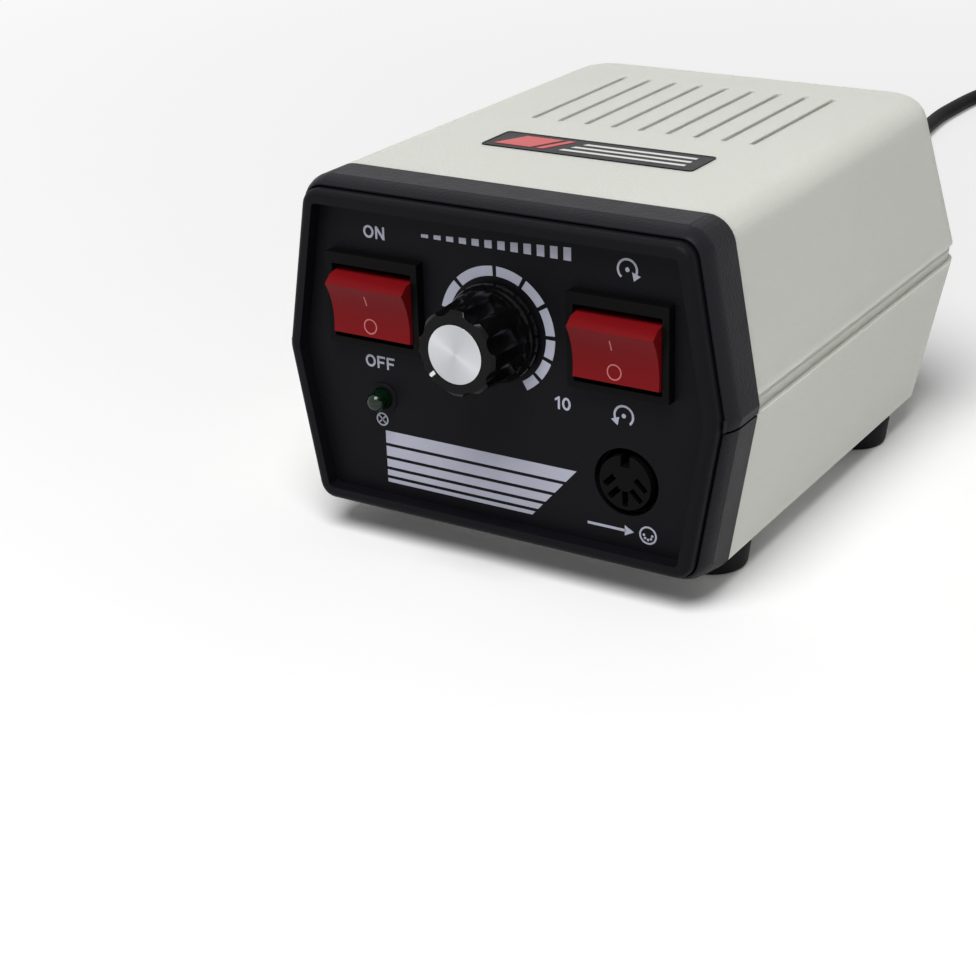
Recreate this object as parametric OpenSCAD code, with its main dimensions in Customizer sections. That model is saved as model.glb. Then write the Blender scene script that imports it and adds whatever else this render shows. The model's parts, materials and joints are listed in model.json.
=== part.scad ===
// Bench control unit of a micromotor: case, front controls, rear fittings, inside parts, mains lead.
// Millimetres. Origin on the floor at the middle of the case's box.
// X to the right as seen from the front, Y to the rear, Z up.

/* [Case] */
// width at the waist
case_w = 112.2; // [104:0.2:124]
// waist to the top
cover_h = 39.4; // [36:0.5:46]
// waist to the underside
base_h = 38; // [34:0.5:44]
// lip of the front panel to the rear at the waist
case_d = 138; // [126:0.2:150]
// lean of the side walls
side_angle = 10; // [6:0.2:13]
// lean of the rear walls
rear_angle = 12; // [6:0.5:15]
// sides drawn in at the rear
rear_in = 1.2; // [0:0.1:2.4]
// wall of the cover and the base
wall = 2.6; // [2:0.1:3.2]
// radius along the top edges
edge_r = 6.5; // [5:0.5:11]
// radius of the rear corners at the waist
corner_r = 11; // [9:0.5:20]
// radius of the rear corners at the top
top_corner = 12; // [11:0.5:16]
// radius of the rear corners at the underside
under_r = 9; // [5:0.5:14]
// height of the groove at the waist
groove_h = 4.2; // [2:0.1:5]
// depth of the groove at the waist
groove_d = 1.2; // [0.8:0.1:1.6]
// tongue of the base inside the cover
tongue_h = 3.2; // [2:0.1:5]

/* [Vents] */
// number of slots
slot_count = 9; // [5:1:11]
// slot to slot
slot_pitch = 7.13; // [5:0.01:8]
// length of a slot
slot_l = 46.2; // [30:0.5:52]
// width of a slot
slot_w = 1.3; // [1:0.1:3]
// lip to the front end of the slots
slot_y = 66.5; // [56:0.5:74]

/* [Bezel] */
// lip to the front edge of the bezel
bezel_y = 2; // [1:0.1:3]
// lip to the rear edge of the bezel
bezel_d = 14.6; // [12:0.2:18]
// bezel beside the panel
bezel_side = 2.3; // [2.2:0.1:3.5]
// bezel above the panel
bezel_top = 2.2; // [2:0.1:4]
// bezel below the panel
bezel_under = 1.6; // [1.4:0.1:3]
// seam between the halves
bezel_seam = 0.6; // [0.3:0.1:1.2]
// height of the raised land at the waist
land_h = 2.6; // [1.5:0.1:4]
// lip to the front of the land
land_y = 1.3; // [0.8:0.1:1.6]
// length of the sleeve inside the case
sleeve_l = 5; // [3:0.5:7]
// wall of the sleeve
sleeve_t = 1.5; // [1:0.1:2]

/* [Front panel] */
// depth of the face behind the outer edge of the lip
lip_d = 2.6; // [1.8:0.1:3.4]
// width of the lip
lip_w = 3; // [2:0.1:3.6]
// crest of the lip before its outer edge
lip_rise = 0.9; // [0.4:0.1:1.4]
// rounding of the lip towards its outer edge
lip_round = 1.6; // [0.8:0.1:2]
// wall of the rim behind the face
rim_w = 1.4; // [1:0.1:2]
// thickness of the face
panel_t = 2; // [1.5:0.1:3]
// radius of the upper corners
panel_r_top = 4; // [3:0.5:9]
// radius of the lower corners
panel_r_under = 4; // [3:0.5:8]
// radius at the waist
panel_r_waist = 6; // [3:0.5:12]
// gap between panel and bezel
panel_gap = 0.4; // [0.2:0.05:0.6]
// bead on the rim that the bezel halves hold
bead = 0.7; // [0.4:0.1:0.9]

/* [Rocker switches] */
// case side at the waist to the middle of a switch
switch_in = 25.6; // [24:0.1:27]
// waist to the middle of a switch
switch_z = 13; // [11:0.2:16]
// width of the frame
switch_w = 24; // [23:0.2:26]
// height of the frame
switch_h = 21; // [20:0.2:23]
// frame in front of the panel face
switch_t = 2.6; // [2:0.1:3.4]
// width behind the panel
switch_body_w = 22.2; // [21.8:0.1:22.6]
// height behind the panel
switch_body_h = 19; // [18.8:0.1:19.4]
// depth behind the panel face
switch_body_d = 18; // [15:0.5:22]
// width of a rocker
rocker_w = 20.2; // [18:0.1:20.4]
// half height of a rocker
rocker_half = 7.2; // [6.8:0.1:7.3]
// pivot to the ridge of a rocker
rocker_ridge = 6; // [5:0.1:6.5]
// depth of the dish between the ridges
rocker_dish = 1.1; // [0.6:0.1:2]
// bottom of the dish before the front of the frame
rocker_rise = 1.15; // [0.6:0.05:1.6]
// tilt to each side
rocker_tilt = 12; // [8:0.5:13]
// pivot behind the front of the frame
pivot_d = 3.6; // [3:0.1:5]
// pivot below the middle of the frame
rocker_drop = 0.5; // [0:0.1:0.6]
// diameter of the pivot pins
pivot_pin = 2.4; // [2:0.1:3]

/* [Speed control] */
// waist to the axis of the knob
knob_z = 11; // [8:0.5:14]
// diameter at the foot of the knob
skirt_dia = 22; // [19:0.2:23.4]
// diameter of the grip at its foot
grip_dia = 20.2; // [18:0.2:21]
// diameter of the grip in front
grip_front = 19; // [16:0.2:19.4]
// front of the knob before the lip
knob_reach = 14.2; // [13:0.2:18]
// gap between knob and panel face
knob_gap = 1; // [0.5:0.1:1.5]
// number of flutes
flute_count = 8; // [6:1:12]
// diameter of a flute
flute_dia = 6.4; // [4:0.1:7]
// diameter of the metal disc
disc_dia = 13; // [11:0.2:14]
// thickness of the metal disc
disc_t = 0.8; // [0.5:0.1:1.2]
// direction of the pointer at the minimum, anticlockwise from the right
pointer_angle = 222; // [200:1:245]
// diameter of the shaft
shaft_dia = 6; // [5:0.1:6.4]
// diameter of the bush
bush_dia = 8; // [7.4:0.1:9]
// diameter of the potentiometer
pot_dia = 17; // [15:0.5:24]
// depth of the potentiometer
pot_d = 10; // [8:0.5:14]

/* [Pilot lamp] */
// case side at the waist to the lamp
lamp_in = 25.4; // [22:0.2:28]
// waist down to the lamp
lamp_z = 10; // [7:0.2:14]
// diameter of the lamp
lamp_dia = 4.6; // [4:0.1:5]
// lamp before the panel face
lamp_l = 5; // [3:0.1:7]
// diameter of its ring
lamp_ring = 7.2; // [7:0.1:9]

/* [Output socket] */
// case side at the waist to the socket
socket_in = 25; // [24.4:0.1:27]
// waist down to the socket
socket_z = 17.9; // [17:0.1:20]
// hole in the panel
socket_hole = 15.4; // [15.2:0.1:17]
// mouth of the socket
socket_mouth = 14.2; // [13.4:0.1:14.2]
// diameter of the insert
insert_dia = 12.4; // [11:0.1:12.6]
// front of the insert before the panel face
insert_rise = 0.6; // [0:0.1:1]
// circle of the contacts
contact_circle = 7.4; // [6.8:0.1:7.6]
// depth of the socket behind the panel face
socket_d = 14; // [12:0.5:18]

/* [Rear fittings] */
// width of the rear cut-out
recess_w = 73.6; // [68:0.2:76]
// waist to the top of the cut-out
recess_top = 26; // [24:0.5:29]
// waist down to the bottom of the cut-out
recess_under = 28.5; // [28.2:0.1:31]
// rear panel's face behind the rear of the case at the waist
recess_d = 10; // [8:0.2:12]
// thickness of the rear panel
rear_t = 2; // [1.5:0.1:2.6]
// frame around the cut-out
rim_t = 2.6; // [2.2:0.1:3.5]
// side of the cut-out to the mains outlet
outlet_in = 15.8; // [13.8:0.1:17]
// waist down to the mains outlet
outlet_z = 18.5; // [18:0.2:19]
// width of the outlet's flange
outlet_w = 24; // [22:0.2:26]
// height of the outlet's flange
outlet_h = 18; // [16:0.2:18.6]
// spacing of the outlet's slots
blade_pitch = 12.7; // [11:0.1:13]
// side of the cut-out to the fuse
fuse_in = 10.3; // [8.8:0.1:12]
// waist to the fuse
fuse_z = 11.7; // [9:0.2:15]
// diameter of the fuse cap
fuse_cap_dia = 11.5; // [10:0.1:13]
// length of the fuse cap outside
fuse_cap_l = 5.4; // [4:0.1:5.8]
// diameter of the fuse
fuse_dia = 5.2; // [5:0.1:6.4]
// length of the fuse
fuse_l = 20; // [18:0.5:24]
// centre line to the cord's strain relief
relief_x = 8; // [4:0.5:12]
// waist down to the strain relief
relief_z = 15; // [13:0.5:18]
// length of the strain relief outside
relief_l = 24; // [20:0.5:32]

/* [Feet] */
// diameter of a foot
foot_dia = 18.6; // [14:0.2:19]
// height of a foot
foot_h = 7; // [4:0.2:9]
// centre line to a foot
foot_x = 38.8; // [32:0.2:39]
// lip to the front feet
foot_front = 27.5; // [25:0.5:29]
// lip to the rear feet
foot_rear = 107; // [105:0.5:110]

/* [Inside] */
// width of the transformer core
core_w = 57; // [48:0.5:60]
// height of the transformer core
core_h = 48; // [40:0.5:52]
// stack of the transformer core
core_d = 24; // [18:0.5:28]
// overhang of the winding
winding_over = 9; // [6:0.5:11]
// thickness of the bracket
bracket_t = 1.5; // [1:0.1:2]
// width of the circuit board
board_w = 40; // [36:0.5:42]
// depth of the circuit board
board_d = 30; // [28:0.5:32]
// thickness of the circuit board
board_t = 1.6; // [1:0.1:2.4]
// height of the standoffs
standoff_h = 5; // [4:0.2:8]

/* [Mains lead] */
// diameter of the lead
cord_d = 5.4; // [5:0.1:5.5]
// width of the plug
plug_w = 24; // [20:0.5:28]
// height of the plug
plug_h = 16; // [15:0.5:18]
// length of the plug's body
plug_l = 26; // [20:0.5:34]

/* [Hidden] */
$fn = 48;
thin = 0.01;
fit = 0.1;
run = 0.05;
free = 0.25;
waist_z = foot_h + base_h;
half = case_w / 2;
function half_w(z) = half - abs(z) * tan(side_angle);
function rear_y(z) = case_d - abs(z) * tan(rear_angle);
// the case's box runs from the metal disc of the knob to the rear edge at the groove
front_y = (knob_reach - rear_y(groove_h / 2)) / 2;
top_z = cover_h - edge_r;
top_x = half_w(top_z) - edge_r / cos(side_angle);
top_y = rear_y(top_z) - edge_r / cos(rear_angle);
seam_z = -groove_h / 2;
switch_x = half - switch_in;
lamp_x = half - lamp_in;
socket_x = half - socket_in;
outlet_x = recess_w / 2 - outlet_in;
fuse_x = recess_w / 2 - fuse_in;
under_ch = 1;
form_y = -1;
far = 400;

face = -lip_d;
panel_back = face - panel_t;
rim_back = bezel_d - 2.5;
rear_face = case_d - recess_d;
rear_back = rear_face - rear_t;
floor_z = wall - base_h;

post_x = 41;
post_front = 41;
post_rear = rear_face - 34;
post_r = 5;
screw_r = 1.7;
screw_head = 3.2;
screw_seat = -base_h / 2;
screw_end = 16;
boss_r = 4.5;
boss_h = 5;

controls_end = lip_d + switch_body_d + 8;
board_x = 14;
board_y = rear_face - 27;
board_z = floor_z + standoff_h;
core_y = (controls_end + board_y - board_d / 2) / 2;
pad_h = 4;
core_z = floor_z + pad_h;
leg_w = core_w / 3;
window_w = core_w / 6;
window_h = core_h - core_w / 3;
bracket_d = core_d - 8;
bracket_tab = 12;
cap_h = 17;
cap_in = 11;
rectifier = [14, 6, 10];
rectifier_y = 8;
tab_x = core_w / 2 + bracket_t + bracket_tab / 2;

slot_depth = 9;
hs_w = 30;
hs_h = 24;
hs_y = 8;
hs_plate = 20;

cord_r = cord_d / 2;
coil_c = [12, 381.95];
coil_min = 21.3;
coil_pitch = 6;
coil_turns = 7.25;
coil_layer = 6;
coil_z = 3.7;
coil_steps = 24;
coil_out = coil_min + coil_pitch * coil_turns / 2;
tie_w = 8;
tie_t = 0.8;
tie_out = 22.55;
tie_in = 3.25;
tie_x0 = coil_c[0] - coil_min - tie_out;
tie_x1 = coil_c[0] - coil_min + tie_in;
tie_top = coil_z + coil_layer + cord_r + 0.4;
plug_x = coil_c[0] + coil_out;
plug_drop = 41;
plug_y = coil_c[1] - plug_drop;
blade_l = 17;
blade_h = 6.4;
plug_neck = 14;

// frames: place has its origin at the middle of the lip at the waist, front looks out of the panel,
// behind looks out of the rear panel with its X to the right of someone who stands there
module place() {
    translate([0, front_y, waist_z]) children();
}
module front(x = 0, z = 0) {
    place() translate([x, 0, z]) rotate([90, 0, 0]) children();
}
module behind(x = 0, z = 0) {
    place() translate([-x, rear_face, z]) rotate([90, 0, 180]) children();
}
module box(x0, x1, y0, y1, z0, z1) {
    translate([x0, y0, z0]) cube([x1 - x0, y1 - y0, z1 - z0]);
}
module rod(r, z0, z1) {
    translate([0, 0, z0]) cylinder(r = r, h = z1 - z0);
}

// outline with rounded corners
function unit(v) = v / norm(v);
function corner_arc(a, b, c, r, n) =
    let (
        u = unit(a - b),
        v = unit(c - b),
        h = acos(u * v) / 2,
        m = b + unit(u + v) * r / sin(h),
        p = b + u * r / tan(h),
        q = b + v * r / tan(h),
        a0 = atan2(p[1] - m[1], p[0] - m[0]),
        a1 = atan2(q[1] - m[1], q[0] - m[0]),
        s = (a1 - a0 + 540) % 360 - 180
    )
    [for (i = [0:n]) m + r * [cos(a0 + s * i / n), sin(a0 + s * i / n)]];
function rounded(pts, radii, n = 6) =
    let (k = len(pts))
    [for (i = [0:k - 1]) each corner_arc(pts[(i + k - 1) % k], pts[i], pts[(i + 1) % k], radii[i], n)];
module panel_outline(off = 0) {
    side = bezel_side + off / cos(side_angle);
    up = cover_h - bezel_top - off;
    down = base_h - bezel_under - off;
    pts = [
        [half_w(up) - side, up], [-half_w(up) + side, up], [side - half, 0],
        [side - half_w(down), -down], [half_w(down) - side, -down], [half - side, 0]
    ];
    rt = max(panel_r_top - off, 0.7);
    ru = max(panel_r_under - off, 0.7);
    polygon(rounded(pts, [rt, rt, panel_r_waist, ru, ru, panel_r_waist]));
}

// outer forms of the case, moved inwards by t
module upper_form(t, low = 0) {
    r = edge_r - t;
    e = max(0, top_corner - edge_r);
    hull() for (s = [-1, 1]) {
        for (a = [0, 15, 30, 45, 60, 75, 88]) translate([s * (top_x - rear_in - e), top_y - e, top_z + r * sin(a)])
            cylinder(r = e + r * cos(a), h = thin, $fn = 40);
        translate([s * top_x, form_y, top_z]) rotate([-90, 0, 0]) cylinder(r = r, h = thin, $fn = 32);
        translate([s * (half - rear_in - corner_r), case_d - corner_r, -low])
            cylinder(r = corner_r - t, h = low + thin, $fn = 32);
        translate([s * (half - t - thin), form_y, -low]) cube([thin, thin, low + thin]);
    }
}
module lower_form(t, high = 0) {
    z1 = base_h - max(t, under_ch);
    z0 = base_h - t;
    in0 = max(t, under_ch);
    hull() for (s = [-1, 1]) {
        translate([s * (half - rear_in - corner_r), case_d - corner_r, -thin])
            cylinder(r = corner_r - t, h = high + thin, $fn = 32);
        translate([s * (half - t - thin), form_y, -thin]) cube([thin, thin, high + thin]);
        translate([s * (half_w(z1) - rear_in - under_r), rear_y(z1) - under_r, -z1])
            cylinder(r = under_r - t, h = thin, $fn = 32);
        translate([s * (half_w(z0) - rear_in - under_r), rear_y(z0) - under_r, -z0])
            cylinder(r = under_r - in0, h = thin, $fn = 32);
        translate([s * (half_w(z1) - t - thin), form_y, -z1]) cube([thin, thin, thin]);
        translate([s * (half_w(z0) - in0 - thin), form_y, -z0]) cube([thin, thin, thin]);
    }
}
module at_posts() {
    for (x = [-post_x, post_x], y = [post_front, post_rear]) translate([x, y, 0]) children();
}
module at_feet() {
    for (x = [-foot_x, foot_x], y = [foot_front, foot_rear]) translate([x, y, 0]) children();
}
module at_tabs() {
    for (x = [-tab_x, tab_x]) translate([x, core_y, 0]) children();
}
module at_board() {
    for (x = [-1, 1], y = [-1, 1])
        translate([board_x + x * (board_w / 2 - 3.5), board_y + y * (board_d / 2 - 3.5), 0]) children();
}

// case
module upper_cover() color("#d8d7cd") place() difference() {
    union() {
        difference() {
            intersection() {
                upper_form(0);
                box(-far, far, bezel_d, far, groove_h / 2, far);
            }
            upper_form(wall, 1);
            intersection() {
                upper_form(groove_d - fit, 1);
                box(-far, far, 0, far, -1, groove_h / 2 + tongue_h + fit);
            }
        }
        intersection() {
            upper_form(0.6);
            box(-recess_w / 2 - rim_t, recess_w / 2 + rim_t, rear_back - 1.6, far, groove_h / 2, recess_top + rim_t);
        }
        at_posts() rod(post_r - 1, 0, cover_h - wall / 2);
    }
    box(-recess_w / 2, recess_w / 2, rear_back - 10, far, -1, recess_top);
    rear_groove(-1, recess_top + rim_t / 2 + fit);
    at_posts() rod(screw_r + run, -1, screw_end + 2);
    translate([0, 0, cover_h / 2]) linear_extrude(cover_h) for (i = [0:slot_count - 1])
        translate([(i - (slot_count - 1) / 2) * slot_pitch, slot_y + slot_l / 2]) {
            square([slot_w, slot_l - slot_w], center = true);
            for (s = [-1, 1]) translate([0, s * (slot_l - slot_w) / 2]) circle(d = slot_w, $fn = 24);
        }
}
module rear_groove(z0, z1) {
    w = recess_w / 2 + rim_t / 2 + fit;
    box(-w, w, rear_back - run, rear_face + run, z0, z1);
}
module lower_base() color("#d2d1c6") place() difference() {
    union() {
        difference() {
            union() {
                intersection() {
                    lower_form(0);
                    box(-far, far, bezel_d, far, -far, -groove_h / 2);
                }
                intersection() {
                    lower_form(groove_d, 0.5);
                    box(-far, far, bezel_d, far, -far, far);
                }
                intersection() {
                    upper_form(groove_d);
                    box(-far, far, bezel_d, far, -1, groove_h / 2 + tongue_h);
                }
            }
            lower_form(wall, 1);
            upper_form(wall, 1);
        }
        intersection() {
            lower_form(0.6);
            box(-recess_w / 2 - rim_t, recess_w / 2 + rim_t, rear_back - 1.6, far, -recess_under - rim_t, -groove_h / 2);
        }
        at_posts() rod(post_r, floor_z - 1, 0);
        at_feet() rod(boss_r, floor_z - 1, floor_z + boss_h);
        at_tabs() rod(boss_r, floor_z - 1, core_z);
        at_board() rod(3, floor_z - 1, board_z);
        box(-core_w / 3, core_w / 3, core_y - core_d / 3, core_y + core_d / 3, floor_z - 1, core_z);
    }
    box(-recess_w / 2, recess_w / 2, rear_back - 10, far, -recess_under, far);
    rear_groove(-recess_under - rim_t / 2 - fit, far);
    box(-recess_w / 2 - rim_t - fit, recess_w / 2 + rim_t + fit, rear_back - 1.6 - fit, far, groove_h / 2 - fit, far);
    at_posts() rod(screw_r + 0.2, -far, 1);
    at_posts() rod(screw_head + 0.5, -far, screw_seat);
    at_feet() rod(1.5 + run, -far, floor_z + boss_h - 1);
    at_tabs() rod(1.5 + run, floor_z, far);
    at_board() rod(1.25 + run, floor_z, far);
}
module bezel_holes() {
    rotate([90, 0, 0]) {
        translate([0, 0, -rim_back]) linear_extrude(far) panel_outline(-panel_gap);
        translate([0, 0, -8 - fit]) linear_extrude(2 + 2 * fit) bead_outline(bead + panel_gap / 2);
    }
}
module bead_outline(out) {
    intersection() {
        panel_outline(-out);
        square([far, 44], center = true);
    }
}
// soft shoulder of the bezel's front: distance behind its front edge, distance outside the panel's gap
module shoulder() {
    rotate([90, 0, 0]) hull() for (s = [
        [0, 0.3], [0.5, 0.7], [1.3, 1.1], [2.5, 1.5], [4, 1.8], [6, 2.1], [bezel_d + sleeve_l, 4]
    ]) translate([0, 0, -bezel_y - s[0]]) linear_extrude(thin) panel_outline(-panel_gap - s[1]);
}
module upper_bezel() color("#303033") place() difference() {
    low = seam_z + bezel_seam / 2;
    union() {
        intersection() {
            union() {
                upper_form(0);
                lower_form(0, thin);
            }
            shoulder();
            box(-far, far, bezel_y, bezel_d, low, far);
        }
        intersection() {
            rotate([90, 0, 0]) translate([0, 0, -bezel_d]) linear_extrude(bezel_d - land_y)
                panel_outline(-panel_gap - 0.45);
            box(-far, far, land_y, bezel_y + 1, low, low + land_h);
        }
        intersection() {
            upper_form(wall + fit);
            box(-far, far, bezel_d - 1, bezel_d + sleeve_l, bezel_seam / 2, far);
        }
    }
    upper_form(wall + sleeve_t, 1);
    lower_form(wall + sleeve_t, 1);
    bezel_holes();
}
module lower_bezel() color("#303033") place() difference() {
    high = seam_z - bezel_seam / 2;
    union() {
        intersection() {
            lower_form(0);
            shoulder();
            box(-far, far, bezel_y, bezel_d, -far, high);
        }
        intersection() {
            lower_form(wall + fit);
            box(-far, far, bezel_d - 1, bezel_d + sleeve_l, -far, high);
        }
    }
    lower_form(wall + sleeve_t, 1);
    bezel_holes();
}
module front_panel() color("#1d1d21") front() difference() {
    union() {
        translate([0, 0, -rim_back]) linear_extrude(rim_back - lip_round / 2) panel_outline();
        hull() for (a = [0, 18, 36, 54, 72, 90])
            translate([0, 0, (lip_rise + lip_round / 2) * sin(a) - lip_round / 2 - thin]) linear_extrude(thin)
                panel_outline(lip_round * (1 - cos(a)));
        translate([0, 0, -8]) linear_extrude(2) bead_outline(bead);
    }
    translate([0, 0, face]) linear_extrude(far) panel_outline(lip_w);
    difference() {
        translate([0, 0, panel_back - far]) linear_extrude(far) panel_outline(rim_w);
        for (s = [-1, 1]) translate([socket_x + s * 12.5, -socket_z, 0]) rod(2.8, panel_back - 3, 1);
    }
    for (s = [-1, 1]) translate([s * switch_x, switch_z, -10])
        linear_extrude(20) square([switch_body_w + 0.3, switch_body_h + 0.3], center = true);
    translate([0, knob_z, 0]) rod(bush_dia / 2 + fit, -10, 5);
    translate([-lamp_x, -lamp_z, 0]) rod(lamp_dia / 2 + 0.8, -10, 5);
    translate([socket_x, -socket_z, 0]) rod(socket_hole / 2, -10, 5);
    for (s = [-1, 1]) translate([socket_x + s * 12.5, -socket_z, 0]) rod(1.2 + run, panel_back - 10, panel_back + 0.5);
}
module rear_panel() color("#202022") place() difference() {
    w = recess_w / 2 + rim_t / 2;
    box(-w, w, rear_back, rear_face, -recess_under - rim_t / 2, recess_top + rim_t / 2);
    translate([-outlet_x, 0, -outlet_z])
        box(3 / 2 - outlet_w / 2, outlet_w / 2 - 3 / 2, rear_back - 5, far, 3 / 2 - outlet_h / 2, outlet_h / 2 - 3 / 2);
    translate([-fuse_x, rear_face, fuse_z]) rotate([90, 0, 0]) rod(fuse_dia / 2 + 3.5 + fit, -5, 5);
    translate([relief_x, rear_face, -relief_z]) rotate([90, 0, 0]) rod(5 + fit, -5, 5);
}
module rubber_feet() color("#1a1a1a") place() at_feet() difference() {
    translate([0, 0, -base_h - foot_h]) cylinder(r1 = foot_dia / 2 - 1, r2 = foot_dia / 2, h = foot_h);
    rod(1.9, -far, 0);
    rod(3.6, -far, -base_h - foot_h / 2);
}
module foot_screws() color("#a9abad") place() at_feet() {
    rod(1.5, -base_h - foot_h / 2, floor_z + boss_h - 1.5);
    rod(2.9, -base_h - foot_h / 2 - 1.8, -base_h - foot_h / 2);
}
module case_screws() color("#a9abad") place() at_posts() {
    rod(screw_r, screw_seat, screw_end);
    rod(screw_head, screw_seat - 2.4, screw_seat);
}

// rocker switches
module switch_housing() {
    pocket_w = rocker_w + 2 * free;
    pocket_h = 2 * rocker_half + 2.4;
    difference() {
        union() {
            translate([-switch_w / 2, -switch_h / 2, face]) cube([switch_w, switch_h, switch_t]);
            translate([-switch_body_w / 2, -switch_body_h / 2, face - switch_body_d])
                cube([switch_body_w, switch_body_h, switch_body_d + 1]);
        }
        translate([-pocket_w / 2, -pocket_h / 2 - rocker_drop, face + switch_t - pivot_d - 8])
            cube([pocket_w, pocket_h, 30]);
        translate([0, -rocker_drop, face + switch_t - pivot_d]) rotate([0, 90, 0]) rod(pivot_pin / 2 + run, -far, far);
    }
}
module rocker() {
    k = pivot_d + rocker_rise;
    dish = [for (i = [-7:7]) [rocker_ridge * i / 8, k + rocker_dish * i * i / 64]];
    side = [
        [rocker_ridge, k + rocker_dish], [rocker_half, pivot_d], [rocker_half, -0.8], [rocker_half - 1.6, -4.4]
    ];
    back = [for (i = [3:-1:0]) [-side[i][0], side[i][1]]];
    translate([0, -rocker_drop, face + switch_t - pivot_d]) rotate([rocker_tilt, 0, 0]) {
        rotate([90, 0, 90]) linear_extrude(rocker_w, center = true) polygon(concat(dish, side, back));
        rotate([0, 90, 0]) rod(pivot_pin / 2, -rocker_w / 2 - free - 0.6, rocker_w / 2 + free + 0.6);
    }
}
module blades(xs, ys, w, t) {
    for (x = xs, y = ys)
        translate([x - w / 2, y - t / 2, face - switch_body_d - 8]) cube([w, t, 8]);
}
module power_switch_housing() color("#1b1b1e") front(-switch_x, switch_z) switch_housing();
module power_switch_terminals() color("#c8a24a") front(-switch_x, switch_z) blades([-5.5, 5.5], [-4.5, 4.5], 6.3, 0.8);
module power_rocker() color("#8c2024") front(-switch_x, switch_z) rocker();
module direction_switch_housing() color("#1b1b1e") front(switch_x, switch_z) switch_housing();
module direction_switch_terminals() color("#c8a24a")
    front(switch_x, switch_z) blades([-5.5, 5.5], [-6.2, 0, 6.2], 6.3, 0.8);
module direction_rocker() color("#8c2024") front(switch_x, switch_z) rocker();

// speed control
module speed_knob() color("#1c1c1f") front(0, knob_z) difference() {
    rotate_extrude() polygon([
        [0, face + knob_gap], [skirt_dia / 2, face + knob_gap], [skirt_dia / 2, face + knob_gap + 1.6],
        [grip_dia / 2, face + knob_gap + 3], [grip_front / 2, knob_reach - 0.9],
        [grip_front / 2 - 0.7, knob_reach - 0.2], [0, knob_reach - 0.2]
    ]);
    for (i = [0:flute_count - 1]) rotate(pointer_angle + (i + 0.5) * 360 / flute_count)
        translate([grip_front / 2 + flute_dia * 0.34, 0, 0]) rod(flute_dia / 2, face + knob_gap + 3.6, far);
    rod(bush_dia / 2 + 3, -far, face + knob_gap + 3.2);
    rod(shaft_dia / 2 + run, -far, knob_reach - 4);
    rod(disc_dia / 2 + fit, knob_reach - disc_t, far);
    rotate(pointer_angle) {
        translate([disc_dia / 2 + 0.6, -0.5, knob_reach - 0.6]) cube([6, 1, 3]);
        translate([0, 0, knob_reach / 2]) rotate([0, 90, 0]) rod(1.5 + run, 0, far);
    }
}
module knob_cap() color("#c9cbce") front(0, knob_z) rod(disc_dia / 2, knob_reach - disc_t, knob_reach);
module knob_grub_screw() color("#55575a") front(0, knob_z) rotate(pointer_angle)
    translate([0, 0, knob_reach / 2]) rotate([0, 90, 0]) difference() {
        rod(1.5, shaft_dia / 2 + run, 8);
        rod(0.75, 6.5, 9);
    }
module potentiometer_shaft() color("#b9bbbe") front(0, knob_z)
    rod(shaft_dia / 2, panel_back - pot_d + 2, knob_reach - 4.2);
module potentiometer_body() color("#8f9294") front(0, knob_z) difference() {
    union() {
        rod(pot_dia / 2, panel_back - pot_d, panel_back);
        rod(bush_dia / 2, panel_back - 1, face + 3.6);
    }
    rod(shaft_dia / 2 + run, panel_back - pot_d + 1.7, far);
}
module potentiometer_washer() color("#b9bbbe") front(0, knob_z) difference() {
    rod(bush_dia / 2 + 2.4, face, face + 0.6);
    rod(bush_dia / 2 + run, -far, far);
}
module potentiometer_nut() color("#b9bbbe") front(0, knob_z) translate([0, 0, face + 0.6]) difference() {
    linear_extrude(2) circle(r = bush_dia / 2 + 2.6, $fn = 6);
    rod(bush_dia / 2 + run, -1, 5);
}
module potentiometer_terminals() color("#c8a24a") front(0, knob_z)
    for (i = [-1:1]) translate([i * 4 - 0.8, -pot_dia / 2 - 5, panel_back - pot_d - 0.6]) cube([1.6, 7, 0.6]);

// pilot lamp
module pilot_lamp_lens() color("#1d5a35") front(-lamp_x, -lamp_z) {
    rod(lamp_dia / 2, face - 6, face + lamp_l - lamp_dia / 2);
    translate([0, 0, face + lamp_l - lamp_dia / 2]) sphere(d = lamp_dia);
    rod(lamp_dia / 2 + 0.4, face - 7, face - 6);
}
module pilot_lamp_holder() color("#161618") front(-lamp_x, -lamp_z) difference() {
    union() {
        rod(lamp_ring / 2, face, face + 0.4);
        rod(lamp_dia / 2 + 0.7, face - 6, face + 0.3);
    }
    rod(lamp_dia / 2 + run, -far, far);
}
module pilot_lamp_leads() color("#b9bbbe") front(-lamp_x, -lamp_z)
    for (s = [-1, 1]) translate([s * 1.27, 0, 0]) rod(0.3, face - 18, face - 7);

// output socket
module output_socket_shell() color("#2a2a2d") front(socket_x, -socket_z) difference() {
    union() {
        rod(socket_hole / 2 - fit, face - socket_d, panel_back);
        translate([-16, -7, panel_back - 4.5]) cube([32, 14, 1.5]);
    }
    rod(socket_mouth / 2, -far, far);
    for (s = [-1, 1]) translate([s * 12.5, 0, 0]) rod(1.4, -far, far);
}
module output_socket_insert() color("#151517") front(socket_x, -socket_z) difference() {
    union() {
        rod(insert_dia / 2, face - socket_d + 1, face + insert_rise);
        rod(socket_mouth / 2 - run, face - socket_d, face - socket_d + 3);
    }
    translate([-1.05, insert_dia / 2 - 2.6, face - 9]) cube([2.1, 6, 20]);
    at_contacts() cube([3.4, 1.3, 60], center = true);
}
module at_contacts() {
    for (i = [0:4]) rotate(180 + 45 * i) translate([contact_circle / 2, 0, 0])
        rotate([-135, -180, -180, -180, 135][i]) children();
}
module output_socket_contacts() color("#cdb063") front(socket_x, -socket_z) at_contacts()
    translate([-1.2, -0.4, face - socket_d - 4]) cube([2.4, 0.8, socket_d + 1]);
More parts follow.
